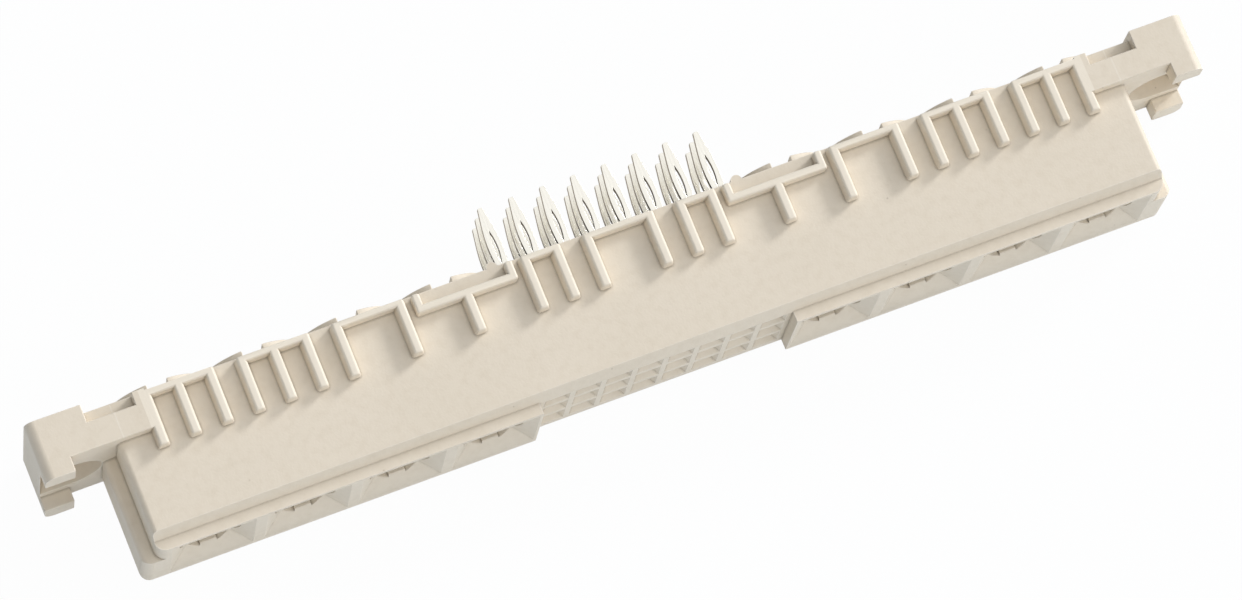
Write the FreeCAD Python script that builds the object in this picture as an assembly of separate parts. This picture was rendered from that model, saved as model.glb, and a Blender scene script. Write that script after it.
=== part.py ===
import FreeCAD, Part
import os

# Female board connector with signal contacts in the middle and empty power cavities on both sides.
# X runs along the connector, +Y from the mating face towards the board, +Z up across the rows.
# The origin is on the board seating plane, midway between the two flange holes.
# Lengths are millimetres. Depths run forward, towards -Y, and "past" means further out.

# Contact grid
pitch = 2.54
row_pitch = 2.54
columns = 8
row_letters = ("a", "b", "c")

# Power cavities, counted in pitches from the last signal column
cavities_per_side = 4
pitches_per_cavity = 3
pitches_to_first_cavity = 2
bore_radius = 2.45
key_slot_width = 1.33
key_slot_depth = 0.25
mouth_depth = 1.15
mouth_past_bore = 0.4
mouth_lip = 0.35
mouth_lower_lip = 0.55
mouth_ridge = 0.9
collar_wall = 1.3
collar_slot_width = 1.6
collar_past_seat = 0.15

# Moulded block
block_rear_depth = 0.44
bevel_depth = 10.84
bevel_length = 0.52
bevel_rise = 1.05
nose_length = 0.89
nose_wall = 0.21
nose_corner_radius = 0.85
block_end_wall = 1.11
block_edge_radius = 0.45

# Stand-off tabs beside the upper row of contacts, which stand on the board
tab_width = 0.9
tab_past_column = 1.15
tab_thickness = 1.0

# Polarising rail on the lower half of both ends
rail_top = 0.6
rail_past_block = 1.1

# Ribs, ledges and brackets on both long faces, with ribs counted in pitches from the middle
rib_foot_width = 1.0
rib_crest_width = 0.7
rib_crown = 0.05
rib_height = 1.05
rib_below_ledge = 0.04
rib_length = 4.43
band_setback = 0.18
ledge_thickness = 0.53
bracket_setback = 0.93
bracket_thickness = 0.63
bracket_hook_width = 0.65
bracket_to_rib = 0.49
full_ribs = (1, 2, 3, 7, 9, 10, 11, 12, 13, 14, 15)
ledge_spans = ((2, 3), (7, 9), (10, 12), (13, 15))
bracket_span = (3, 7)

# Mounting flanges
flange_hole_past_block = 3.7
flange_hole_radius = 1.4
flange_end_past_hole = 2.4
flange_end_block_length = 4.45
flange_edge_radius = 0.8
flange_thickness = 3.11
screw_seat_radius = 2.55
screw_seat_depth = 0.67
lug_reach = 1.15
lug_length = 2.4
lug_thickness = 2.0
rear_notch_depth = 1.01
rear_notch_length = 3.85

# Signal contact, stamped from sheet that lies flat in the X-Y plane
sheet_thickness = 0.5
tail_past_press_zone = 1.65
tip_half_width = 0.2
tail_half_width = 0.46
press_zone_start = -0.3
press_zone_length = 3.3
press_zone_half_width = 0.58
eye_margin = 0.35
eye_half_width = 0.17
shoulder_inset = 0.33
shoulder_length = 2.5
shoulder_half_width = 0.8
shoulder_flare = 0.09
fork_root = 1.1
fork_tip_half_width = 0.62
fork_gap_half = 0.32
fork_grip_half = 0.26
fork_mouth_half = 0.4
fork_grip_from_tip = 1.1

# Chamber that holds one contact, and the entry in front of it
slot_clearance = 0.03
flare_clearance = 0.01
chamber_half_height = 0.6
chamber_past_fork = 0.3
throat_half = 0.45
throat_length = 0.59
entry_depth = 0.7
entry_web = 0.44
entry_wall = 0.2

# Places along the connector
column_places = [(n - (columns - 1) / 2) * pitch for n in range(columns)]
cavity_pitch = pitches_per_cavity * pitch
first_cavity = column_places[-1] + pitches_to_first_cavity * pitch
cavity_places = [first_cavity + n * cavity_pitch for n in range(cavities_per_side)]
mouth_half_width = (cavity_pitch - mouth_ridge) / 2
nose_start = first_cavity - mouth_half_width - nose_wall
block_end = cavity_places[-1] + mouth_half_width + block_end_wall
rail_end = block_end + rail_past_block
flange_start = full_ribs[-1] * pitch
flange_hole = block_end + flange_hole_past_block
flange_end = flange_hole + flange_end_past_hole
end_block_start = flange_end - flange_end_block_length
notch_start = end_block_start - rear_notch_length

# Heights across the rows
middle_row = (len(row_letters) - 1) / 2
row_places = [(middle_row - n) * row_pitch for n in range(len(row_letters))]
mouth_top = bore_radius + mouth_past_bore
mating_top = max(mouth_top + mouth_lip, row_places[0] + throat_half + entry_wall)
block_half_height = mating_top + bevel_rise
mouth_bottom = mouth_lower_lip - block_half_height
rib_top = block_half_height + rib_height
rib_sunk = block_half_height / 2
lug_inner = rib_top - lug_thickness

# Depths from the seating plane
band_rear_depth = block_rear_depth + band_setback
centre_face_depth = bevel_depth + bevel_length
nose_face_depth = centre_face_depth + nose_length
neck_depth = block_rear_depth + flange_thickness
screw_seat = neck_depth - screw_seat_depth
lug_front_depth = neck_depth + lug_reach

# Places along one contact and its chamber
press_zone_end = press_zone_start + press_zone_length
tail_end = press_zone_end + tail_past_press_zone
shoulder_rear = -block_rear_depth - shoulder_inset
fork_start = shoulder_rear - shoulder_length
chamber_front = -centre_face_depth + entry_depth + throat_length
fork_tip = chamber_front + chamber_past_fork
flare_half_width = shoulder_half_width + shoulder_flare
slot_half_width = flare_half_width + flare_clearance
slot_half_height = sheet_thickness / 2 + slot_clearance

along_x = FreeCAD.Vector(1, 0, 0)
along_y = FreeCAD.Vector(0, 1, 0)
along_z = FreeCAD.Vector(0, 0, 1)
origin = FreeCAD.Vector(0, 0, 0)


def box(x, y, z):
    """Block between pairs of limits, given in either order."""
    low = FreeCAD.Vector(min(x), min(y), min(z))
    return Part.makeBox(max(x) - low.x, max(y) - low.y, max(z) - low.z, low)


def prism(points, sweep):
    """Straight extrusion of a polygon."""
    corners = [FreeCAD.Vector(*p) for p in points]
    return Part.Face(Part.makePolygon(corners + corners[:1])).extrude(sweep)


def round_along_y(solid, radius, from_x):
    """The box with its edges along Y rounded, where they lie past the given distance from the middle."""
    edges = [e for e in solid.Edges if e.BoundBox.YLength > radius and abs(e.CenterOfMass.x) > from_x]
    return solid.makeFillet(radius, edges)


def both_ends(shape):
    """The shape and its mirror image at the other end of the connector."""
    return [shape, shape.mirror(origin, along_x)]


def both_faces(shape):
    """The shape and its mirror image on the other long face."""
    return [shape, shape.mirror(origin, along_z)]


def funnel(wide_x, wide_z, narrow_x, narrow_z, y):
    """Four-sided funnel along Y, between the wide rectangle at y[0] and the narrow one at y[1]."""
    first = (wide_x[0], y[0], wide_z[0], narrow_z[0], narrow_x[0])
    last = (wide_x[1], y[1], wide_z[1], narrow_z[1], narrow_x[1])
    return Part.makeWedge(*first, *last)


def nose_corner(end, z):
    """Space outside the rounding of one outer corner of a nose."""
    r = nose_corner_radius
    centre = FreeCAD.Vector(end - r, r - nose_face_depth, z[0])
    corner = box((centre.x, end + r), (-nose_face_depth - r, centre.y), z)
    return corner.cut(Part.makeCylinder(r, z[1] - z[0], centre, along_z))


def block():
    """Bar with a bevel above and a nose at both ends, short above the polarising step and long below."""
    y = (-nose_face_depth, -block_rear_depth)
    upper = box((-block_end, block_end), y, (-block_half_height, block_half_height))
    lower = box((-rail_end, rail_end), y, (-block_half_height, rail_top))
    bar = round_along_y(upper, block_edge_radius, 0).fuse(round_along_y(lower, block_edge_radius, 0))
    past = bevel_rise
    high = block_half_height + past
    front = -nose_face_depth - past
    bevel = [
        (-rail_end - past, -bevel_depth, high),
        (-rail_end - past, -bevel_depth, block_half_height),
        (-rail_end - past, -centre_face_depth, mating_top),
        (-rail_end - past, front, mating_top),
        (-rail_end - past, front, high),
    ]
    spaces = [
        prism(bevel, along_x * (2 * (rail_end + past))),
        box((-nose_start, nose_start), (front, -centre_face_depth), (-high, high)),
    ]
    spaces += both_ends(nose_corner(block_end, (rail_top, high)))
    spaces += both_ends(nose_corner(rail_end, (-high, rail_top)))
    return bar.cut(spaces)


def rib(x, rear_depth):
    """One drafted rib with a round crest, from the given depth to the ribs' common front."""
    foot = rib_foot_width / 2
    crest = rib_crest_width / 2
    apex = rib_top - rib_below_ledge
    section = [
        (x - crest, apex - rib_crown),
        (x - foot, block_half_height),
        (x - foot, rib_sunk),
        (x + foot, rib_sunk),
        (x + foot, block_half_height),
        (x + crest, apex - rib_crown),
        (x, apex),
    ]
    corners = [FreeCAD.Vector(u, -rear_depth, z) for u, z in section]
    crown = Part.Arc(corners[-2], corners[-1], corners[0]).toShape()
    outline = Part.Wire(Part.makePolygon(corners[:-1]).Edges + [crown])
    return Part.Face(outline).extrude(along_y * (rear_depth - band_rear_depth - rib_length))


def bracket():
    """Bar with a hook at both ends and a short rib in front of its middle."""
    first, last = (n * pitch for n in bracket_span)
    gap = rib_foot_width / 2 + bracket_to_rib
    x = (first + gap, last - gap)
    z = (rib_sunk, rib_top)
    bar_rear = band_rear_depth + bracket_setback
    bar_front = bar_rear + bracket_thickness
    solids = [box(x, (-bar_front, -bar_rear), z), rib((first + last) / 2, bar_rear)]
    for hook in (x[0], x[1] - bracket_hook_width):
        solids.append(box((hook, hook + bracket_hook_width), (-bar_front, -band_rear_depth), z))
    return solids


def rib_band():
    """Ribs, the ledge that joins them in groups at the rear, and the brackets between the groups."""
    y = (-band_rear_depth - ledge_thickness, -band_rear_depth)
    z = (rib_sunk, rib_top)
    one_end = [rib(n * pitch, band_rear_depth) for n in full_ribs]
    one_end += [box((first * pitch, last * pitch), y, z) for first, last in ledge_spans]
    solids = [box((-pitch, pitch), y, z)]
    for solid in one_end + bracket():
        solids += both_ends(solid)
    return [copy for solid in solids for copy in both_faces(solid)]


def flange():
    """Mounting flange: a slab with a lug above and below its screw seat, notched at its rear edges."""
    slab = box((flange_start, flange_end), (-lug_front_depth, 0), (-rib_top, rib_top))
    slab = round_along_y(slab, flange_edge_radius, flange_hole)
    past = flange_edge_radius
    x = (flange_start - past, flange_end + past)
    front = -lug_front_depth - past
    high = rib_top + past
    notch_floor = -block_rear_depth - rear_notch_depth
    spaces = [
        box(x, (front, -neck_depth), (-lug_inner, lug_inner)),
        box((x[0], flange_end - lug_length), (front, -neck_depth), (-high, high)),
        box((flange_hole, x[1]), (front, -screw_seat), (-screw_seat_radius, screw_seat_radius)),
        box((x[0], end_block_start), (-block_rear_depth, past), (-high, high)),
    ]
    notch = box((notch_start, end_block_start), (notch_floor, past), (block_half_height, high))
    spaces += both_faces(notch)
    foot = FreeCAD.Vector(flange_hole, front, 0)
    spaces.append(Part.makeCylinder(screw_seat_radius, -screw_seat - front, foot, along_y))
    spaces.append(Part.makeCylinder(flange_hole_radius, past - front, foot, along_y))
    return slab.cut(spaces)


def tab():
    """Stand-off tab with a round end beside the signal field, level with the rear faces of the flanges."""
    x = column_places[-1] + tab_past_column
    r = tab_width / 2
    z = block_half_height - tab_thickness
    stem = box((x - r, x + r), (-neck_depth, -r), (z, block_half_height))
    return stem.fuse(Part.makeCylinder(r, tab_thickness, FreeCAD.Vector(x, -r, z), along_z))


def collar(x):
    """Split ring round the rear of one cavity, which stands on the board."""
    radius = bore_radius + collar_wall
    base = FreeCAD.Vector(x, -bevel_depth / 2, 0)
    ring = Part.makeCylinder(radius, bevel_depth / 2 + collar_past_seat, base, along_y)
    half_slot = collar_slot_width / 2
    slot = box((x - half_slot, x + half_slot), (-block_rear_depth, radius), (-2 * radius, 2 * radius))
    return ring.cut(slot)


def cavity(x):
    """Space of one power cavity: a round bore with two keyways and a four-sided mouth."""
    past = bore_radius
    front = -nose_face_depth - past
    bore = Part.makeCylinder(bore_radius, past - front, FreeCAD.Vector(x, front, 0), along_y)
    half_slot = key_slot_width / 2
    slot_end = bore_radius + key_slot_depth
    keyways = box((x - half_slot, x + half_slot), (front, past), (-slot_end, slot_end))
    throat = bore_radius / 2**0.5
    mouth = funnel(
        (x - mouth_half_width, x + mouth_half_width),
        (mouth_bottom, mouth_top),
        (x - throat, x + throat),
        (-throat, throat),
        (-nose_face_depth, -nose_face_depth + mouth_depth),
    )
    return bore.fuse([keyways, mouth])


def chamber(x, z):
    """Space of one signal contact: retaining slot, spring chamber, throat and entry funnel."""
    slot_x = (x - slot_half_width, x + slot_half_width)
    slot = box(slot_x, (fork_start, 0), (z - slot_half_height, z + slot_half_height))
    room = box(slot_x, (chamber_front, fork_start), (z - chamber_half_height, z + chamber_half_height))
    throat_x = (x - throat_half, x + throat_half)
    throat_z = (z - throat_half, z + throat_half)
    throat = box(throat_x, (-centre_face_depth, chamber_front), throat_z)
    half_width = (pitch - entry_web) / 2
    half_rise = (row_pitch - entry_web) / 2
    lowest = entry_wall - block_half_height
    entry = funnel(
        (x - half_width, x + half_width),
        (max(z - half_rise, lowest), min(z + half_rise, mating_top - entry_wall)),
        throat_x,
        throat_z,
        (-centre_face_depth, -centre_face_depth + entry_depth),
    )
    return slot.fuse([room, throat, entry])


def housing():
    """The whole moulding in one solid."""
    solids = rib_band() + both_ends(flange()) + both_ends(tab())
    solids += [copy for x in cavity_places for copy in both_ends(collar(x))]
    spaces = [copy for x in cavity_places for copy in both_ends(cavity(x))]
    spaces += [chamber(x, z) for x in column_places for z in row_places]
    return block().multiFuse(solids).cut(spaces).removeSplitter()


def arc(start, middle, end):
    """Edge through three points of the contact's plane."""
    return Part.Arc(*(FreeCAD.Vector(*p, 0) for p in (start, middle, end))).toShape()


def straight_edges(points):
    """Edges through the points of the contact's plane."""
    corners = [FreeCAD.Vector(*p, 0) for p in points]
    return [Part.LineSegment(a, b).toShape() for a, b in zip(corners, corners[1:])]


def contact_half(side):
    """Edges of one side of the contact's outline, from the tip of the tail to the root of the fork."""
    press_middle = (press_zone_start + press_zone_end) / 2
    root = fork_start - fork_root
    tail = [
        (0, tail_end),
        (side * tip_half_width, tail_end),
        (side * tail_half_width, press_zone_end),
    ]
    body = [
        (side * tail_half_width, press_zone_start),
        (side * tail_half_width, shoulder_rear),
        (side * flare_half_width, shoulder_rear),
        (side * shoulder_half_width, fork_start),
        (side * fork_tip_half_width, fork_tip),
        (side * fork_mouth_half, fork_tip),
        (side * fork_grip_half, fork_tip + fork_grip_from_tip),
        (side * fork_gap_half, root),
        (0, root),
    ]
    bulge = arc(tail[-1], (side * press_zone_half_width, press_middle), body[0])
    return straight_edges(tail) + [bulge] + straight_edges(body)


def contact_profile():
    """Sheet outline of the contact with the eye of its press-fit zone."""
    outer = Part.Wire(Part.__sortEdges__(contact_half(1) + contact_half(-1)))
    low = (0, press_zone_start + eye_margin)
    high = (0, press_zone_end - eye_margin)
    middle = (low[1] + high[1]) / 2
    eye = Part.Wire([arc(low, (eye_half_width, middle), high), arc(high, (-eye_half_width, middle), low)])
    return Part.Face(outer).cut(Part.Face(eye))


def contact(x, z):
    """One signal contact in its chamber."""
    solid = contact_profile().extrude(along_z * sheet_thickness).Solids[0]
    solid.translate(FreeCAD.Vector(x, 0, z - sheet_thickness / 2))
    return solid


os.makedirs("parts", exist_ok=True)
housing().exportStep("parts/housing.step")
for letter, z in zip(row_letters, row_places):
    for column, x in enumerate(column_places, start=1):
        contact(x, z).exportStep(f"parts/signal_contact_{letter}{column}.step")
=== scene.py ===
import bmesh
import bpy
import math
from mathutils import Matrix, Vector


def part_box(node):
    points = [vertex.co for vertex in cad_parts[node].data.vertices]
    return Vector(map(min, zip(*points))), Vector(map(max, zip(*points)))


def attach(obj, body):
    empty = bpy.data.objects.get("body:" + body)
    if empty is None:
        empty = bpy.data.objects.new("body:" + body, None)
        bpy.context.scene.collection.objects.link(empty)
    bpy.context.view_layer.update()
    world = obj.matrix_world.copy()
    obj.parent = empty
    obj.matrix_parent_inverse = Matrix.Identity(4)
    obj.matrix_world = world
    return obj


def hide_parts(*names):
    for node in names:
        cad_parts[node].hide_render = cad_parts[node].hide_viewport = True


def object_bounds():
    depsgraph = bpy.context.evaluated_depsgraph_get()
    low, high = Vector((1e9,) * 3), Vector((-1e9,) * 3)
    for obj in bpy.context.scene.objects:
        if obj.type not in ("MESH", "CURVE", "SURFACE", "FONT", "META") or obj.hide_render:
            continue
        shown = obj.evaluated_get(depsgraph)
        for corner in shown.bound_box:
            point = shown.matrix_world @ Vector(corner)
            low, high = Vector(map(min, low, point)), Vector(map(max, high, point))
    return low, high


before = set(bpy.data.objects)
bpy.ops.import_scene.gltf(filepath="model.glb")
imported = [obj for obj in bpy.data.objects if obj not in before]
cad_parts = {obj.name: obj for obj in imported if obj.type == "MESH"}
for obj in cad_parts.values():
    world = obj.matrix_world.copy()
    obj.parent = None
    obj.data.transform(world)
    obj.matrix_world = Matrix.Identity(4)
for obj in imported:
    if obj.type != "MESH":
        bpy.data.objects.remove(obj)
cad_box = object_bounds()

# Housing: one injection moulding with its ribs, rear ledges, brackets, flanges, cavities and chambers.
# It is glass-filled polyester in light beige, left as it comes from a finely spark-eroded mould, so
# its edges are slightly rounded and its ribs are round along the top.
mm = 0.001
weld_gap = 0.002 * mm
flat_angle = math.radians(0.5)
round_angle = math.radians(50)
sharp_angle = math.radians(32)
shortest_rounded = 0.3 * mm
room_share = 0.4
straight_sine = 0.05
wide_face_weight = 100


def join_flats(shape):
    """Joins the neighbouring faces of a shape that lie in one plane."""
    bmesh.ops.dissolve_limit(shape, angle_limit=flat_angle, verts=shape.verts, edges=shape.edges)


def solid_copy(node):
    """The shape of a solid of the frame, with its corners joined."""
    shape = bmesh.new()
    shape.from_mesh(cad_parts[node].data)
    bmesh.ops.remove_doubles(shape, verts=shape.verts, dist=weld_gap)
    return shape


def edge_room(edge):
    """The widest rounding of an edge that its neighbours round the same faces leave space for."""
    along = edge.verts[1].co - edge.verts[0].co
    room = math.inf
    for loop in edge.link_loops:
        for other in (loop.link_loop_prev.edge, loop.link_loop_next.edge):
            across = other.verts[1].co - other.verts[0].co
            if abs(math.sin(along.angle(across))) > straight_sine:
                room = min(room, other.calc_length() * room_share)
    return room


def refill(shape, axis, level, outward):
    """Fills the flat faces at one level of an axis afresh, within the outlines that they have."""
    at_level = {v for v in shape.verts if abs(v.co[axis] - level) < weld_gap}
    flats = [f for f in shape.faces if at_level.issuperset(f.verts)]
    bmesh.ops.delete(shape, geom=flats, context="FACES")
    rims = [e for e in shape.edges if e.is_boundary]
    filled = bmesh.ops.triangle_fill(shape, use_beauty=True, edges=rims)
    fresh = [part for part in filled["geom"] if isinstance(part, bmesh.types.BMFace)]
    for face in fresh:
        face.normal_update()
        face.smooth = True
    bmesh.ops.reverse_faces(shape, faces=[f for f in fresh if f.normal[axis] * outward < 0])


def rounded_piece(shape, name, segments, width, flats=()):
    """A piece of the shape with its convex edges rounded by their widths, and its wide flats refilled."""
    weights = shape.edges.layers.float.new("bevel_weight_edge")
    convex = [e for e in shape.edges if e.is_convex and e.calc_face_angle() > round_angle]
    widths = {e: min(width(e), edge_room(e)) for e in convex if e.calc_length() > shortest_rounded}
    widest = max(widths.values())
    for edge, share in widths.items():
        edge[weights] = share / widest
    for face in shape.faces:
        face.smooth = True
    mesh = bpy.data.meshes.new(name)
    shape.to_mesh(mesh)
    shape.free()
    piece = bpy.data.objects.new(name, mesh)
    bpy.context.scene.collection.objects.link(piece)
    bevel = piece.modifiers.new("edges", "BEVEL")
    bevel.limit_method = "WEIGHT"
    bevel.width = widest
    bevel.segments = segments
    bevel.use_clamp_overlap = False
    bevel.loop_slide = False
    shape = bmesh.new()
    shape.from_object(piece, bpy.context.evaluated_depsgraph_get())
    bmesh.ops.remove_doubles(shape, verts=shape.verts, dist=weld_gap)
    for axis, level, outward in flats:
        refill(shape, axis, level, outward)
    for edge in shape.edges:
        edge.smooth = edge.calc_face_angle() < sharp_angle
    piece.modifiers.clear()
    shape.to_mesh(mesh)
    shape.free()
    shading = piece.modifiers.new("shading", "WEIGHTED_NORMAL")
    shading.weight = wide_face_weight
    shading.keep_sharp = True
    return piece


housing_shape = solid_copy("housing")

# The crests of the ribs become flat tops, level with the ledges, so that they are rounded as one.
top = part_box("housing")[1].z
rib_band_end = 38.6 * mm
crest_band = 0.15 * mm
crests = [v for v in housing_shape.verts if abs(v.co.x) < rib_band_end and abs(v.co.z) > top - crest_band]
for corner in crests:
    corner.co.z = math.copysign(top, corner.co.z)
bmesh.ops.remove_doubles(housing_shape, verts=crests, dist=weld_gap)
on_top = {v for v in housing_shape.verts if abs(v.co.z) > top - weld_gap}
flat_tops = [f for f in housing_shape.faces if on_top.issuperset(f.verts)]
bmesh.ops.delete(housing_shape, geom=flat_tops, context="FACES")
rims = [e for e in housing_shape.edges if e.is_boundary]
bmesh.ops.holes_fill(housing_shape, edges=rims, sides=0)
join_flats(housing_shape)

# Each bore has a key above and below, raised where the solid has a groove: the corners of the groove's
# floor climb along its end edges, past the wall of the bore.
cavities_a_side = 4
first_cavity = 13.97 * mm
cavity_pitch = 7.62 * mm
groove_floor = 2.7 * mm
key_width = 1.33 * mm
key_crest = 2.15 * mm
cavity_columns = [first_cavity + n * cavity_pitch for n in range(cavities_a_side)]
for corner in housing_shape.verts:
    aside = min(abs(abs(corner.co.x) - column) for column in cavity_columns)
    if aside > key_width / 2 + weld_gap or abs(abs(corner.co.z) - groove_floor) > weld_gap:
        continue
    climbs = [e.other_vert(corner).co - corner.co for e in corner.link_edges]
    climb = max(climbs, key=lambda step: abs(step.z) / step.length)
    corner.co += climb * (groove_floor - key_crest) / abs(climb.z)
    for face in corner.link_faces:
        face.normal_update()

# Each screw seat is a pocket that ends inside its flange, where the solid has it shallow and open.
flange_end = cad_box[1].x
neck_face = -3.55 * mm
seat_face = -2.88 * mm
seat_start = 42 * mm
seat_half_width = 2.55 * mm
pocket_face = -1.5 * mm
pocket_end = 46.4 * mm


def in_seat(corner):
    """Whether a corner lies on the walls or the bottom of a screw seat."""
    in_width = abs(corner.co.x) > seat_start and abs(corner.co.z) < seat_half_width + weld_gap
    return in_width and neck_face - weld_gap < corner.co.y < seat_face + weld_gap


for side in (-1, 1):
    seats = [f for f in housing_shape.faces if all(in_seat(v) for v in f.verts)]
    parts = {part for face in seats for part in (face, *face.edges, *face.verts)}
    cut = (side * pocket_end, 0, 0)
    bmesh.ops.bisect_plane(housing_shape, geom=list(parts), plane_co=cut, plane_no=(1, 0, 0))
for corner in housing_shape.verts:
    if in_seat(corner) and corner.co.y > neck_face + weld_gap:
        corner.co.y = neck_face if abs(corner.co.x) > flange_end - weld_gap else pocket_face
bmesh.ops.remove_doubles(housing_shape, verts=housing_shape.verts, dist=weld_gap)
housing_shape.normal_update()

# The crests have the widest rounding, and the thin webs between the signal entries stay sharp.
crest_round = 0.2 * mm
corner_round = 0.09 * mm
moulding_segments = 4
web_end = 10.5 * mm
web_depth = -11.3 * mm


def moulded_round(edge):
    """The width of the rounding that the mould gives one edge."""
    if all(abs(v.co.x) < web_end and v.co.y < web_depth for v in edge.verts):
        return 0.0
    in_band = all(abs(v.co.x) < rib_band_end for v in edge.verts)
    at_crest = any(abs(v.co.z) > top - weld_gap for v in edge.verts)
    return crest_round if in_band and at_crest else corner_round


# These flats are notched by many ribs, holes and lugs, so they are filled afresh after the rounding.
# Each has its axis, its level and the side that it looks to.
along_y, along_z = 1, 2
block_top = 4.25 * mm
rear_face = -0.44 * mm
wide_flats = (
    (along_z, block_top, 1),
    (along_z, -block_top, -1),
    (along_y, neck_face, -1),
    (along_y, rear_face, 1),
)
housing = rounded_piece(housing_shape, "housing_moulding", moulding_segments, moulded_round, wide_flats)


def linear(code):
    """Linear colour of an sRGB hex code, for a colour socket."""
    parts = [int(code[n : n + 2], 16) / 255 for n in (1, 3, 5)]
    return [p / 12.92 if p <= 0.04045 else ((p + 0.055) / 1.055) ** 2.4 for p in parts] + [1.0]


def add_node(tree, kind, inputs=None, **settings):
    """A new node with its settings, where each named input takes a value or another node's socket."""
    node = tree.nodes.new(kind)
    for name, value in settings.items():
        setattr(node, name, value)
    for name, value in (inputs or {}).items():
        if isinstance(value, bpy.types.NodeSocket):
            tree.links.new(value, node.inputs[name])
        else:
            node.inputs[name].default_value = value
    return node


# Moulded polyester is matte beige with soft clouds from the flow of the melt and a fine grain from the
# spark-eroded steel. Its outer edges and rib crests carry a painted highlight, its inner corners carry a
# grey-brown painted shade, and a pale line crosses each neck where two parts of the mould met.
flow_size = 6 * mm
mottle_size = 0.7 * mm
speck_spacing = 2 * mm
mould_line = 40.8 * mm
mould_line_width = 0.1 * mm
# Height of the painted highlight on the rib crests
crest_highlight_height = 0.8 * mm
# Reach of the painted highlight along the outer edges
edge_highlight_reach = 0.08 * mm
# Reach of the painted shade in the inner corners
corner_shade_reach = 0.22 * mm
# The real grain is about 0.03 mm across, and is drawn coarser so that it shows.
grain_size = 0.2 * mm
grain_depth = 0.02 * mm


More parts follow.
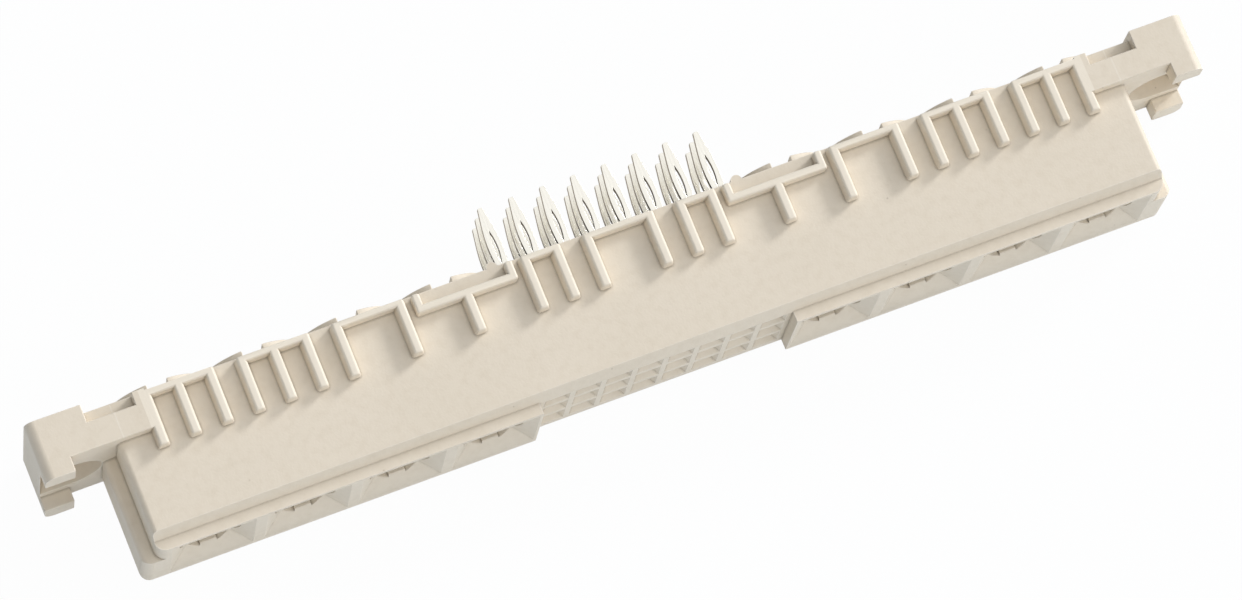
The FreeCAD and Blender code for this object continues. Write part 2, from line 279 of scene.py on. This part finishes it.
def moulded_polyester():
    """Glass-filled polyester as it leaves a spark-eroded mould, with painted highlights on its edges and
    crests and painted shade in its inner corners.
    """
    material = bpy.data.materials.new("moulded_polyester")
    material.use_nodes = True
    tree = material.node_tree
    shader = tree.nodes["Principled BSDF"]
    coordinates = add_node(tree, "ShaderNodeTexCoord")
    place = coordinates.outputs["Object"]
    facing = add_node(tree, "ShaderNodeSeparateXYZ", {"Vector": coordinates.outputs["Normal"]})
    across = add_node(tree, "ShaderNodeSeparateXYZ", {"Vector": place})
    outward = add_node(tree, "ShaderNodeMath", {0: across.outputs["X"]}, operation="ABSOLUTE")
    height = add_node(tree, "ShaderNodeMath", {0: across.outputs["Z"]}, operation="ABSOLUTE")

    # Soft clouds in the melt, wide ones and small ones
    flow = add_node(tree, "ShaderNodeTexNoise", {"Vector": place, "Scale": 1 / flow_size, "Detail": 3.0})
    mottle = add_node(
        tree, "ShaderNodeTexNoise", {"Vector": place, "Scale": 1 / mottle_size, "Detail": 4.0}
    )
    clouds = add_node(
        tree,
        "ShaderNodeMapRange",
        {"Value": mottle.outputs["Fac"], "From Min": 0.45, "From Max": 0.75, "To Max": 0.25},
    )

    # Line of the mould, which crosses the necks and stops short of the nose
    line = add_node(
        tree,
        "ShaderNodeMath",
        {0: outward.outputs[0], 1: mould_line, 2: mould_line_width / 2},
        operation="COMPARE",
    )
    on_neck = add_node(
        tree,
        "ShaderNodeMapRange",
        {
            "Value": across.outputs["Y"],
            "From Min": neck_face,
            "From Max": neck_face + weld_gap,
            "To Max": 0.3,
        },
    )
    trace = add_node(
        tree, "ShaderNodeMath", {0: line.outputs[0], 1: on_neck.outputs[0]}, operation="MULTIPLY"
    )

    # Painted highlight on the crests of the rib band, apart from the front ends of the ribs
    near_top = add_node(
        tree,
        "ShaderNodeMapRange",
        {"Value": height.outputs[0], "From Min": top - crest_highlight_height, "From Max": top, "To Max": 0.7},
    )
    in_band = add_node(
        tree, "ShaderNodeMath", {0: outward.outputs[0], 1: rib_band_end}, operation="LESS_THAN"
    )
    crest = add_node(
        tree, "ShaderNodeMath", {0: near_top.outputs[0], 1: in_band.outputs[0]}, operation="MULTIPLY"
    )
    off_ends = add_node(
        tree,
        "ShaderNodeMapRange",
        {"Value": facing.outputs["Y"], "From Min": -0.8, "From Max": -0.3},
    )
    crest_highlight = add_node(
        tree, "ShaderNodeMath", {0: crest.outputs[0], 1: off_ends.outputs[0]}, operation="MULTIPLY"
    )

    # Painted highlight along the outer edges
    thin = add_node(
        tree,
        "ShaderNodeAmbientOcclusion",
        {"Distance": edge_highlight_reach},
        samples=2,
        only_local=True,
        inside=True,
    )
    edge_highlight = add_node(
        tree,
        "ShaderNodeMapRange",
        {
            "Value": thin.outputs["AO"],
            "From Min": 0.55,
            "From Max": 0.95,
            "To Min": 0.7,
            "To Max": 0.0,
        },
    )

    # Scattered dark specks
    cells = add_node(tree, "ShaderNodeTexVoronoi", {"Vector": place, "Scale": 1 / speck_spacing})
    specks = add_node(
        tree,
        "ShaderNodeMapRange",
        {
            "Value": cells.outputs["Distance"],
            "From Min": 0.02,
            "From Max": 0.045,
            "To Min": 0.4,
            "To Max": 0.0,
        },
    )

    # Painted shade in the inner corners
    hollow = add_node(
        tree, "ShaderNodeAmbientOcclusion", {"Distance": corner_shade_reach}, samples=2, only_local=True
    )
    corner_shade = add_node(
        tree,
        "ShaderNodeMapRange",
        {
            "Value": hollow.outputs["AO"],
            "From Min": 0.45,
            "From Max": 0.85,
            "To Min": 0.55,
            "To Max": 0.0,
        },
    )

    # The crest and edge layers are painted highlights, and the corner layer is painted shade
    layers = (
        (flow.outputs["Fac"], "#EADFCE"),
        (clouds.outputs["Result"], "#D2C4AE"),
        (trace.outputs[0], "#F8F2E8"),
        (crest_highlight.outputs[0], "#F6EDDD"),
        (edge_highlight.outputs["Result"], "#F8F2E8"),
        (specks.outputs["Result"], "#85745B"),
        (corner_shade.outputs["Result"], "#6F654F"),
    )
    tint = linear("#E3D8C6")
    for share, code in layers:
        layer = {"Factor": share, "A": tint, "B": linear(code)}
        tint = add_node(tree, "ShaderNodeMix", layer, data_type="RGBA").outputs["Result"]
    tree.links.new(tint, shader.inputs["Base Color"])

    grain = add_node(
        tree, "ShaderNodeTexNoise", {"Vector": place, "Scale": 1 / grain_size, "Detail": 3.0}
    )
    bump = add_node(
        tree, "ShaderNodeBump", {"Height": grain.outputs["Fac"], "Strength": 0.5, "Distance": grain_depth}
    )
    tree.links.new(bump.outputs["Normal"], shader.inputs["Normal"])
    shader.inputs["Roughness"].default_value = 0.55
    shader.inputs["IOR"].default_value = 1.57
    return material


housing.data.materials.append(moulded_polyester())
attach(housing, "root")
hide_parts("housing")

# Signal contacts: 24 pieces stamped from pre-tinned copper alloy strip and pressed into the housing.
# The rolled faces keep the bright tin, and the sheared edges show the duller alloy.
# The tail ends in a press-fit zone with an eye, which springs in its board hole.
contact_round = 0.05 * mm
contact_segments = 2

# Tinned strip is near white with faint lines along its rolling direction. Its sheared edges show dull bare
# alloy, with painted shade that darkens them towards the housing.
# Painted shade on the sheared edges: darkest near the housing, gone further out
shade_darkest_at = 0.2 * mm
shade_gone_at = 2.2 * mm
# The real rolling lines are a few hundredths of a millimetre apart, and are drawn wider so that they show.
line_spacing = 0.2827 * mm
line_depth = 0.01 * mm
# A wave texture draws this many bands in one unit of its scale.
wave_bands = 10 / math.pi


def tinned_strip():
    """Tin on rolled copper alloy strip, cut by a stamping tool."""
    material = bpy.data.materials.new("tinned_strip")
    material.use_nodes = True
    tree = material.node_tree
    shader = tree.nodes["Principled BSDF"]
    coordinates = add_node(tree, "ShaderNodeTexCoord")
    place = coordinates.outputs["Object"]

    # Rolled faces look up or down, and sheared edges look sideways
    facing = add_node(tree, "ShaderNodeSeparateXYZ", {"Vector": coordinates.outputs["Normal"]})
    upright = add_node(tree, "ShaderNodeMath", {0: facing.outputs["Z"]}, operation="ABSOLUTE")
    rolled = add_node(
        tree, "ShaderNodeMapRange", {"Value": upright.outputs[0], "From Min": 0.35, "From Max": 0.8}
    )
    along = add_node(tree, "ShaderNodeSeparateXYZ", {"Vector": place})
    # Painted shade: the sheared edges darken towards the housing
    outer = add_node(
        tree,
        "ShaderNodeMapRange",
        {"Value": along.outputs["Y"], "From Min": shade_darkest_at, "From Max": shade_gone_at},
    )
    sheared_and_shade = add_node(
        tree,
        "ShaderNodeMix",
        {"Factor": outer.outputs["Result"], "A": linear("#3E372E"), "B": linear("#A79D8E")},
        data_type="RGBA",
    )
    tint = add_node(
        tree,
        "ShaderNodeMix",
        {"Factor": rolled.outputs["Result"], "A": sheared_and_shade.outputs["Result"], "B": linear("#F4F1E8")},
        data_type="RGBA",
    )
    tree.links.new(tint.outputs["Result"], shader.inputs["Base Color"])

    # Rolling lines in the gloss and, faintly, in the relief
    lines = add_node(
        tree,
        "ShaderNodeTexWave",
        {"Vector": place, "Scale": 1 / (wave_bands * line_spacing), "Distortion": 2.0, "Detail": 2.0},
        bands_direction="X",
    )
    bright = add_node(
        tree, "ShaderNodeMapRange", {"Value": lines.outputs["Fac"], "To Min": 0.24, "To Max": 0.38}
    )
    gloss = add_node(
        tree, "ShaderNodeMix", {"Factor": rolled.outputs["Result"], "A": 0.6, "B": bright.outputs["Result"]}
    )
    tree.links.new(gloss.outputs["Result"], shader.inputs["Roughness"])
    relief = add_node(
        tree, "ShaderNodeBump", {"Height": lines.outputs["Fac"], "Strength": 0.08, "Distance": line_depth}
    )
    tree.links.new(relief.outputs["Normal"], shader.inputs["Normal"])
    shader.inputs["Metallic"].default_value = 1.0
    return material


tin = tinned_strip()
for node in sorted(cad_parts):
    if not node.startswith("signal_contact_"):
        continue
    contact_shape = solid_copy(node)
    join_flats(contact_shape)
    name = node.replace("signal_", "")
    contact = rounded_piece(contact_shape, name, contact_segments, lambda edge: contact_round)
    contact.data.materials.append(tin)
    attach(contact, "root")
    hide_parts(node)

# Floor: a plain white sheet that the connector lies on. The camera sees it as white paper, and it
# keeps a little of the connector's shadow.
floor_half = 2.0
floor_level = cad_box[0].z
paper_share = 0.03
floor_corners = [(-1, -1), (1, -1), (1, 1), (-1, 1)]
sheet = [(x * floor_half, y * floor_half, floor_level) for x, y in floor_corners]
mesh = bpy.data.meshes.new("floor")
mesh.from_pydata(sheet, [], [(0, 1, 2, 3)])
floor = bpy.data.objects.new("floor", mesh)
bpy.context.scene.collection.objects.link(floor)
paper = bpy.data.materials.new("white_paper")
paper.use_nodes = True
tree = paper.node_tree
shader = tree.nodes["Principled BSDF"]
shader.inputs["Base Color"].default_value = linear("#DDE7EF")
shader.inputs["Roughness"].default_value = 0.9
glow = add_node(tree, "ShaderNodeEmission", {"Color": linear("#FFFFFF"), "Strength": 1.0})


def seen_share(tree):
    """One for the rays that show the background itself, and nothing for those that light the object."""
    path = add_node(tree, "ShaderNodeLightPath").outputs
    sharp = add_node(
        tree,
        "ShaderNodeMath",
        {0: path["Is Glossy Ray"], 1: path["Is Transmission Ray"]},
        operation="MAXIMUM",
    )
    seen = add_node(
        tree, "ShaderNodeMath", {0: path["Is Camera Ray"], 1: sharp.outputs[0]}, operation="MAXIMUM"
    )
    return seen.outputs[0]


white = add_node(tree, "ShaderNodeMath", {0: seen_share(tree), 1: 1 - paper_share}, operation="MULTIPLY")
surface = add_node(
    tree,
    "ShaderNodeMixShader",
    {0: white.outputs[0], 1: shader.outputs["BSDF"], 2: glow.outputs["Emission"]},
)
tree.links.new(surface.outputs["Shader"], tree.nodes["Material Output"].inputs["Surface"])
floor.data.materials.append(paper)

# Light: a white studio, bright overhead and towards the right front and dim and cool on the left, and
# one lamp low on the right and a little behind, which draws the shadows of the ribs.
room_light = 0.59
room_slope = Vector((0.50, -0.36, 0.15))
dimmest = 0.06
lamp_from = Vector((1.8, 0.8, 0.9))
lamp_power = 1.7
lamp_angle = math.radians(15)
world = bpy.data.worlds.new("white_studio")
bpy.context.scene.world = world
world.use_nodes = True
tree = world.node_tree
background = tree.nodes["Background"]
direction = add_node(tree, "ShaderNodeTexCoord").outputs["Generated"]
slope = add_node(tree, "ShaderNodeVectorMath", {0: direction, 1: room_slope}, operation="DOT_PRODUCT")
sloped = add_node(tree, "ShaderNodeMath", {0: slope.outputs["Value"], 1: room_light}, operation="ADD")
room = add_node(tree, "ShaderNodeMath", {0: sloped.outputs[0], 1: dimmest}, operation="MAXIMUM")
seen = seen_share(tree)
level = add_node(tree, "ShaderNodeMix", {"Factor": seen, "A": room.outputs[0], "B": 1.0})
tree.links.new(level.outputs["Result"], background.inputs["Strength"])
warmth = add_node(tree, "ShaderNodeMath", {0: sloped.outputs[0], 1: seen}, operation="MAXIMUM")
colour = add_node(
    tree,
    "ShaderNodeMix",
    {"Factor": warmth.outputs[0], "A": linear("#F3F9FF"), "B": linear("#FFFFFF")},
    data_type="RGBA",
)
tree.links.new(colour.outputs["Result"], background.inputs["Color"])
lamp = bpy.data.lights.new("soft_lamp", "SUN")
lamp.energy = lamp_power
lamp.angle = lamp_angle
lamp_object = bpy.data.objects.new("soft_lamp", lamp)
lamp_object.rotation_euler = lamp_from.to_track_quat("Z", "Y").to_euler()
bpy.context.scene.collection.objects.link(lamp_object)

# Camera: high over the left front of the connector, with a long lens that keeps its edges nearly
# parallel.
camera_place = Vector((-91.24, -113.82, 438.27)) * mm
camera_forward = Vector((0.19612, 0.23596, -0.95177))
camera_right = Vector((0.92288, -0.37245, 0.09783))
lens_mm = 175.0
sensor_mm = 36.0
back = -camera_forward.normalized()
right = (camera_right - camera_right.dot(back) * back).normalized()
up = back.cross(right)
camera = bpy.data.cameras.new("camera")
camera.lens = lens_mm
camera.sensor_width = sensor_mm
camera_object = bpy.data.objects.new("camera", camera)
turn = Matrix((right, up, back)).transposed().to_4x4()
camera_object.matrix_world = Matrix.Translation(camera_place) @ turn
bpy.context.scene.collection.objects.link(camera_object)
bpy.context.scene.camera = camera_object

bpy.context.scene.view_settings.view_transform = "Standard"

bpy.context.view_layer.update()
